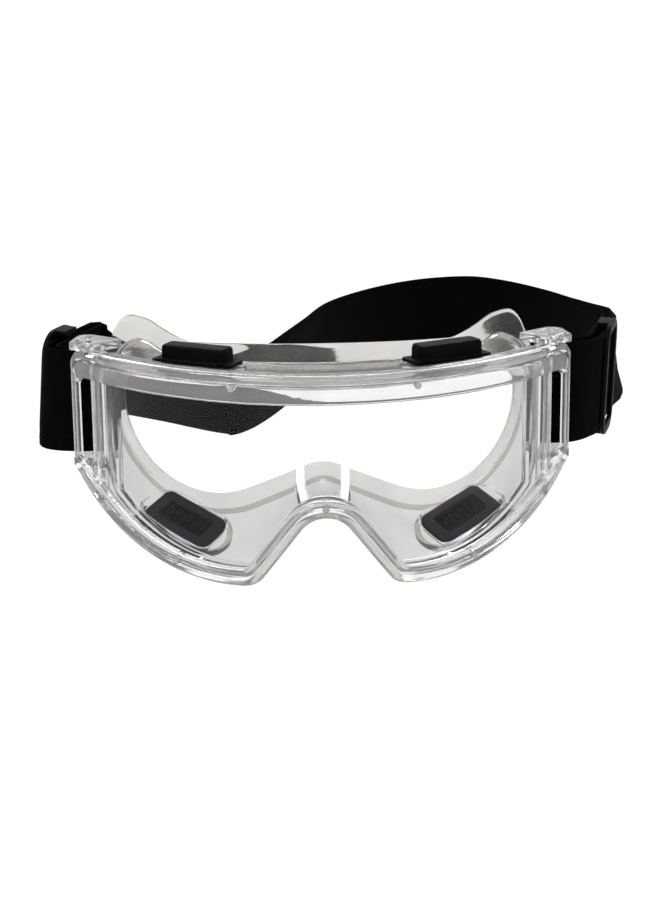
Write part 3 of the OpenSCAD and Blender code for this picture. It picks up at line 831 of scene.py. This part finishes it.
def make_lens():
    """The sheet is built in upright strips, so that it follows the cylinder smoothly."""
    strips, steps = 90, 12
    half = (RIM + LENS_EDGE * RIM_IN)[: COUNT // 2 + 1]
    # the widest station, and the highest of those that are as wide
    widest = max(range(len(half)), key=lambda i: half[i][0] + 0.02 * half[i][1])
    low, high = half[: widest + 1], half[widest:][::-1]
    end = half[widest][0] - 0.001
    xs = np.concatenate([-np.linspace(end, 0, strips)[:-1], np.linspace(0, end, strips)])
    z_low = np.interp(abs(xs), np.maximum.accumulate(low[:, 0]), low[:, 1])
    z_high = np.interp(abs(xs), high[:, 0], high[:, 1])
    rows = []
    for x, a, b in zip(xs, z_low, z_high):
        zs = [a + (b - a) * k / steps for k in range(steps + 1)]
        rows.append([wrap((x, z), 0) for z in zs] + [wrap((x, z), LENS_T) for z in zs[::-1]])
    v, f = tube(rows)
    return new_object("lens_clear_sheet", row(v), f, "goggles", LENS, ["lens"], sharp=40)


def make_pegs():
    h, r = RIM_FRONT + 0.35, PEG_R
    prof = [(0, 0.02), (r, 0.02), (r, h - 0.35), (0.98, h - 0.12), (0.7, h - 0.02), (0.35, h), (0, h)]
    v, f = joined([moved(lathe(prof, 28), peg_matrix(p)) for p in PEGS])
    return new_object("lens_peg_domes", v, f, "goggles", PEG, ["lens_pegs"])


def make_pin(side, name):
    """A pin with eased ends, slightly thinner between the lugs."""
    z0, z1 = LUG_LOW - LUG_T - 0.3, LUG_HIGH + LUG_T + 0.3
    r, ease, waist = PIN_R, 0.35, 0.12
    prof = [(0, z0), (r - ease, z0), (r, z0 + ease), (r, LUG_LOW - 0.4), (r - waist, LUG_LOW + 0.2),
            (r - waist, LUG_HIGH - 0.2), (r, LUG_HIGH + 0.4), (r, z1 - ease), (r - ease, z1), (0, z1)]
    v, f = placed(shifted(lathe(prof), side * PIN_X, PIN_Y))
    return new_object(name + "_pin_turned", v, f, "goggles", RIGID, [name + "_strap_pin"])


# ------------------------------------------------------------
# Vents
# ------------------------------------------------------------
def side_cut(x, y, length, width, z0, z1):
    """A small upright cutter with its middle at x, y."""
    return shifted(loft([(length, width, 0.3, z0), (length, width, 0.3, z1)], 3), x, y)


def make_cap(name, node, place, vent, length, width, box, height):
    """A base plate with a box on it, air slots along its rear side, and two grips in its front lip."""
    pad, (box_len, box_wid) = vent["half"], box
    base = loft([(length - 0.5, width - 0.5, 1.4, pad), (length, width, 1.6, pad + 0.25),
                 (length, width, 1.6, pad + 0.95), (length - 0.5, width - 0.5, 1.4, pad + 1.2),
                 (box_len + 0.5, box_wid + 0.5, 2.2, pad + 1.2), (box_len, box_wid, 2, pad + 1.5),
                 (box_len - 0.2, box_wid - 0.2, 1.9, pad + height - 1.3),
                 (box_len - 0.6, box_wid - 0.6, 1.8, pad + height - 0.6),
                 (box_len - 1.4, box_wid - 1.4, 1.4, pad + height - 0.15),
                 (box_len - 2.6, box_wid - 2.6, 0.9, pad + height)])
    cuts = [prism((box_len - 2.8, box_wid - 2.8), 0.8, pad - 1, pad + height - 1.2)]
    slots, slot_w, pitch, grip_w = 4, 1.6, 2.6, 2.2
    cuts += [side_cut(x * (2 + pitch * i), width / 2, slot_w, width, pad + 1.6, pad + 3.0)
             for x in (-1, 1) for i in range(slots)]
    cuts += [side_cut(x * (length / 2 - 3.4), -width / 2, grip_w, 1.2, pad - 0.3, pad + 2) for x in (-1, 1)]
    mesh = csg(moved(base, place), (), [moved(c, place) for c in cuts])
    return finish_object(name, mesh, "goggles", BLACK, [node], sharp=32)


def trapezoid(levels):
    """Like loft, but the side at -y is wider than the side at +y."""
    taper = 0.05
    v, f = loft(levels)
    half = max(abs(v[:, 1]))
    v[:, 0] *= 1 - taper * (v[:, 1] / half + 1) / 2
    return v, f


def make_vent_frame(name, node, place, vent, length, width, thick, mat):
    """A flange with a window, on a sleeve that goes through the wall as far as the cap."""
    pad, (hole_len, hole_wid) = vent["half"], vent["hole"]
    r = 3 * width / 16
    b = -pad - thick
    base = trapezoid([(length - 1.4, width - 1.4, r - 0.5, b), (length - 0.5, width - 0.5, r - 0.2, b + 0.15),
                      (length, width, r, b + 0.6), (length, width, r, -pad)])
    sleeve = prism((hole_len - 0.3, hole_wid - 0.3), 1.2, -pad - 0.4, pad - 0.1)
    cuts = [prism((hole_len - 2.7, hole_wid - 2.7), 0.6, -pad - 1.0, pad + 1),
            loft([(hole_len + 0.9, hole_wid + 0.7, 1.4, b - 0.2),
                  (hole_len - 0.1, hole_wid - 0.3, 1, b + 0.45),
                  (hole_len - 0.3, hole_wid - 0.5, 1, b + 1.2)])]
    mesh = csg(moved(base, place), [moved(sleeve, place)], [moved(c, place) for c in cuts])
    return finish_object(name, mesh, "goggles", mat, [node], sharp=32)


# ------------------------------------------------------------
# Headband, sliders and stitching
# ------------------------------------------------------------
# the single run round the back: x, depth, height and lean of the webbing
ROUTE = np.array([(-82, 94.5, 53.5, 8), (-77, 96.5, 52, 14), (-70, 92, 50.5, 21), (-62, 84.5, 49.5, 27),
                  (-53, 75.5, 49, 30), (-44, 67, 49, 31), (-36, 62, 49.5, 29),
                  (-29, 62.5, 50, 24), (-22.5, 69, 51, 19), (-16.5, 80, 52, 16), (-9, 98, 53, 15),
                  (0, 124, 54, 16), (14, 149, 54, 18), (32, 168, 54, 18), (50, 178, 54, 18),
                  (68, 180.5, 54, 20), (85, 173, 53.5, 24), (99, 157, 53, 26), (108.5, 140, 52.5, 26),
                  (113, 121, 52.5, 19), (113, 106, 53, 8)], float)
# where each doubled end bends from its lug into its run: x, depth, and a layer's distance
# from the middle between the two layers
BEND = {-1: [(-90.6, 46, 2.9), (-94.5, 48.7, 2.2)], 1: [(90, 47.2, 2.9), (93.8, 50.4, 2.2)]}
RUN_STEPS = (-13.5, -6, 1, 8, 15, 23)    # points of the run, from the middle of the slider
LOOP_TURN = 80          # degrees that the webbing turns about a pin, either way
WELD = 0.35             # closer sections of the webbing are left out


def run_point(side, s):
    """A point of the doubled run, s from the middle of the slider, with the layer's own distance."""
    return np.array((RUN_X[side] + s * cosd(RUN[side]), RUN_Y + s * sind(RUN[side]), LAYER_GAP))


def spline(p, n):
    """A Catmull-Rom curve through points, n steps from each to the next."""
    p = np.asarray(p, float)
    last, out = len(p) - 1, []
    for i in range(last):
        p0, p1, p2, p3 = p[max(i - 1, 0)], p[i], p[i + 1], p[min(i + 2, last)]
        for k in range(n):
            t = k / n
            out.append(0.5 * (2 * p1 + (p2 - p0) * t + (2 * p0 - 5 * p1 + 4 * p2 - p3) * t * t
                              + (3 * p1 - p0 - 3 * p2 + p3) * t ** 3))
    return np.array(out + [p[last]])


def headings(p):
    """The direction of travel at each point, seen from above."""
    q = np.vstack([p[:1], p, p[-1:]])[:, :2]
    t = q[2:] - q[:-2]
    return t / np.linalg.norm(t, axis=1)[:, None]


def end_layer(side, which, n=12):
    """One layer of a doubled end, from the pin out; which is 1 for one layer and -1 for the other."""
    pts = [(side * (PIN_X + 0.01), PIN_Y, LOOP_R), (side * (PIN_X + 5.5), PIN_Y, 3.8)] + BEND[side]
    p = spline(pts + [tuple(run_point(side, s)) for s in RUN_STEPS], n)
    out = []
    for i, (q, h) in enumerate(zip(p, headings(p))):
        # the lean comes in along the bend
        a = LEAN[side] * smooth((i * 4 / n - 2) / 10)
        nx, ny = side * which * h[1], -side * which * h[0]
        out.append((q[0] + q[2] * nx * cosd(a), q[1] + q[2] * ny * cosd(a),
                    BAND_Z + q[2] * sind(a) * which, a))
    return np.array(out)


def turned(side):
    """The webbing's turn about a pin."""
    return np.array([(side * (PIN_X - LOOP_R * cosd(a)), PIN_Y + LOOP_R * sind(a), BAND_Z, 0)
                     for a in range(-LOOP_TURN, LOOP_TURN + 1, 8)])


def flipped(p):
    """The same places, with the lean as the opposite direction of travel has it."""
    return p * np.array((1, 1, 1, -1))


def band_path():
    """Places and leans of the whole length of webbing, from one sewn end to the other."""
    path = np.vstack([flipped(end_layer(-1, -1)[::-1]), turned(-1)[::-1], end_layer(-1, 1), spline(ROUTE, 12),
                      end_layer(1, 1)[::-1], turned(1), flipped(end_layer(1, -1))])
    keep = [0]
    for i in range(1, len(path)):
        if np.linalg.norm(path[i, :2] - path[keep[-1], :2]) > WELD:
            keep.append(i)
    return path[keep]


def band_profile():
    """Section of the webbing, across its width and through its thickness, with a bound edge."""
    w, t, steps = BAND_W / 2, BAND_T / 2, 20
    edge = [(w - 0.15, t * 0.45), (w - 0.6, t * 0.82), (w - 1.2, t * 0.9), (w - 1.7, t * 0.72),
            (w - 2.1, t * 0.95)]
    face = edge + [((w - 2.6) * (1 - 2 * j / steps), t) for j in range(steps + 1)]
    face += [(-a, b) for a, b in edge[::-1]]
    return [(w, 0)] + face + [(-w, 0)] + [(a, -b) for a, b in face[::-1]]


def set_band_uv(o, points, uv):
    """Gives each vertex the coordinates of the nearest point of the sweep it was made from."""
    tree = KDTree(len(points))
    for k, point in enumerate(points):
        tree.insert(point, k)
    tree.balance()
    at = [uv[tree.find(v.co)[1]] for v in o.data.vertices]
    layer = o.data.uv_layers.new(name="band")
    for loop in o.data.loops:
        layer.data[loop.index].uv = at[loop.vertex_index]


def make_headband():
    """The webbing, and its real length in metres."""
    path, prof = band_path(), band_profile()
    length, rows, uv = 0.0, [], []
    for i, (q, h) in enumerate(zip(path, headings(path))):
        if i:
            length += np.linalg.norm(q[:3] - path[i - 1][:3])
        nx, ny = h[1], -h[0]
        up = np.array((nx * sind(q[3]), ny * sind(q[3]), cosd(q[3])))
        out = np.array((nx * cosd(q[3]), ny * cosd(q[3]), -sind(q[3])))
        rows.append([q[:3] + a * up + b * out for a, b in prof])
        uv += [(length * 0.001, 0.5 + a / BAND_W) for a, _ in prof]
    v, f = placed(tube(rows))
    o = new_object("headband_webbing", v, f, "headband", CLOTH, ["headband"], sharp=60)
    set_band_uv(o, v, uv)
    return o, length * 0.001


def slider_matrix(side):
    """Places a slider that is modelled along x, with its plate at +y and its height along z."""
    x, y, _ = run_point(side, 0)
    m = Matrix.Translation((x, y, BAND_Z)) @ turn(RUN[side], "Z") @ turn(-side * LEAN[side], "X")
    return m if side < 0 else m @ Matrix.Scale(-1, 4, (0, 1, 0))


def make_slider(side, name):
    """A plate with a window, a rail above and below the webbing, and a cross bar between its layers."""
    length, height = SLIDER_LEN, SLIDER_H
    out = LAYER_GAP + BAND_T / 2 + 0.3
    rail = (height - BAND_W - 1) / 2
    place = slider_matrix(side)
    flat = place @ turn(90, "X")
    plate = loft([(length - 0.8, height - 0.8, 7.6, -out - 1.6),
                  (length - 0.2, height - 0.2, 7.9, -out - 1.4),
                  (length, height, 8, -out - 1.1), (length, height, 8, -out - 0.3),
                  (length - 0.4, height - 0.4, 7.8, -out)])
    window = loft([(length - 5.6, BAND_W - 1.2, 1.5, -out - 2.0),
                   (length - 6.4, BAND_W - 2, 1.2, -out - 1.2),
                   (length - 6.4, BAND_W - 2, 1.2, -out - 0.4),
                   (length - 5.6, BAND_W - 1.2, 1.5, -out + 0.4)])
    bar = loft([(9.4, rail - 0.4, 0.5, -out - 0.6), (10, rail, 0.6, -out + 0.2), (10, rail, 0.6, 0.65),
                (9.4, rail - 0.5, 0.5, 0.85)])
    cross = loft([(3.2, 1.0, 0.4, -height / 2 + 0.4), (4, 1.7, 0.8, -height / 2 + 1.0),
                  (4, 1.7, 0.8, height / 2 - 1.0), (3.2, 1.0, 0.4, height / 2 - 0.4)])
    adds = [moved(shifted(bar, 0, z * (height - rail) / 2), flat) for z in (-1, 1)]
    adds.append(moved(cross, place))
    mesh = csg(moved(plate, flat), [], [moved(window, flat)])
    solid = [tuple(v.co) for v in mesh.vertices], [tuple(p.vertices) for p in mesh.polygons]
    return finish_object(name + "_slider_loop", csg(solid, adds), name + "_slider", BLACK,
                         [name + "_slider"], sharp=32)


def make_stitching(side, name):
    """Rows of short stitches up the face of the inner layer, beyond the slider."""
    rows, stitches, pitch, half, r = (13.5, 16, 18.5), 12, 2.5, 0.85, 0.17
    y = -LAYER_GAP - BAND_T / 2 - 0.16
    heights = [pitch * (k - (stitches - 1) / 2) for k in range(stitches)]
    parts = [capsule((x, y, z - half), (x, y, z + half), r, 10) for x in rows for z in heights]
    v, f = joined([moved(c, slider_matrix(side)) for c in parts])
    return new_object(name + "_thread_rows", v, f, "headband", THREAD, [name + "_end_stitching"])


# ------------------------------------------------------------
# Make the pieces
# ------------------------------------------------------------
make_facepiece()
make_frame()
make_lens()
make_pegs()
for s, name in ((-1, "left"), (1, "right")):
    make_pin(s, name)
    make_cap(f"upper_{name}_cap", f"upper_{name}_vent_cap", upper_vent(s), UPPER,
             length=30, width=11, box=(24.5, 8.4), height=6)
    make_cap(f"lower_{name}_cap", f"lower_{name}_vent_cap", lower_vent(s), LOWER,
             length=26, width=14, box=(23, 11.4), height=5)
    make_vent_frame(f"upper_{name}_inner", f"upper_{name}_vent_frame", upper_vent(s), UPPER,
                    length=26, width=9, thick=1.6, mat=BLACK)
    make_vent_frame(f"lower_{name}_inner", f"lower_{name}_vent_frame", lower_vent(s), LOWER,
                    length=27, width=16.4, thick=1.8, mat=SLATE)
    make_slider(s, name)
    make_stitching(s, name)
    # the screens stay as the CAD has them
    for level in ("upper", "lower"):
        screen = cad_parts[f"{level}_{name}_vent_screen"]
        screen.data.materials.clear()
        screen.data.materials.append(MESH)
band, band_length = make_headband()


# ------------------------------------------------------------
# Floor, light and world
# ------------------------------------------------------------
def make_floor(half, z):
    """A wide sheet of pale paper, which glows, so that shadows on it are faint."""
    m = Nodes("floor_paper")
    glow = m.add("ShaderNodeEmission", Color=(1, 1, 1, 1), Strength=0.97)
    paper = m.ramp(m.noise(3, 2), [(0.3, 0.10), (0.7, 0.12)])
    m.set(Base_Color=paper, Roughness=0.9, Specular_IOR_Level=0.0)
    both = m.add("ShaderNodeAddShader", i0=glow.outputs[0], i1=m.bsdf.outputs[0])
    m.put(m.out.inputs[0], both.outputs[0])
    mesh = bpy.data.meshes.new("floor")
    mesh.from_pydata([(-half, -half, z), (half, -half, z), (half, half, z), (-half, half, z)],
                     [], [(0, 1, 2, 3)])
    mesh.materials.append(m.mat)
    o = bpy.data.objects.new("floor", mesh)
    bpy.context.scene.collection.objects.link(o)


def area_light(name, where, target, size, power):
    """A white panel at a place in metres, facing a target."""
    data = bpy.data.lights.new(name, "AREA")
    data.shape = "RECTANGLE"
    data.size, data.size_y = size
    data.energy = power
    o = bpy.data.objects.new(name, data)
    bpy.context.scene.collection.objects.link(o)
    o.location = where
    o.rotation_euler = (Vector(target) - Vector(where)).to_track_quat("-Z", "Y").to_euler()


def make_world(stops):
    """Grey light whose level depends on height: each stop is (height of the direction, level)."""
    world = bpy.data.worlds.new("studio")
    bpy.context.scene.world = world
    world.use_nodes = True
    tree = world.node_tree
    coord = tree.nodes.new("ShaderNodeTexCoord")
    split = tree.nodes.new("ShaderNodeSeparateXYZ")
    ramp = tree.nodes.new("ShaderNodeValToRGB")
    tree.links.new(coord.outputs["Generated"], split.inputs[0])
    tree.links.new(split.outputs[2], ramp.inputs[0])
    for _ in stops[2:]:
        ramp.color_ramp.elements.new(0.5)
    for stop, (height, level) in zip(ramp.color_ramp.elements, stops):
        stop.position, stop.color = height, (level, level, level * 1.005, 1)
    tree.links.new(ramp.outputs[0], tree.nodes["Background"].inputs[0])
    tree.nodes["Background"].inputs[1].default_value = 1.0


make_floor(half=12.0, z=-0.30)
area_light("key", (-0.5, -0.55, 0.95), (0, 0.02, 0), (0.5, 0.35), 8)
area_light("fill", (0.9, -0.5, 0.5), (0, 0.02, 0), (0.6, 0.6), 2)
area_light("rim", (0.1, 0.9, 0.75), (0, 0.03, 0), (1.0, 0.25), 6)
# pale up to just above the horizon, dark above that for the edges of clear parts, pale overhead
make_world([(0.0, 0.94), (0.20, 0.88), (0.32, 0.04), (0.45, 0.06), (0.90, 0.90)])
bpy.context.scene.view_settings.view_transform = "Standard"
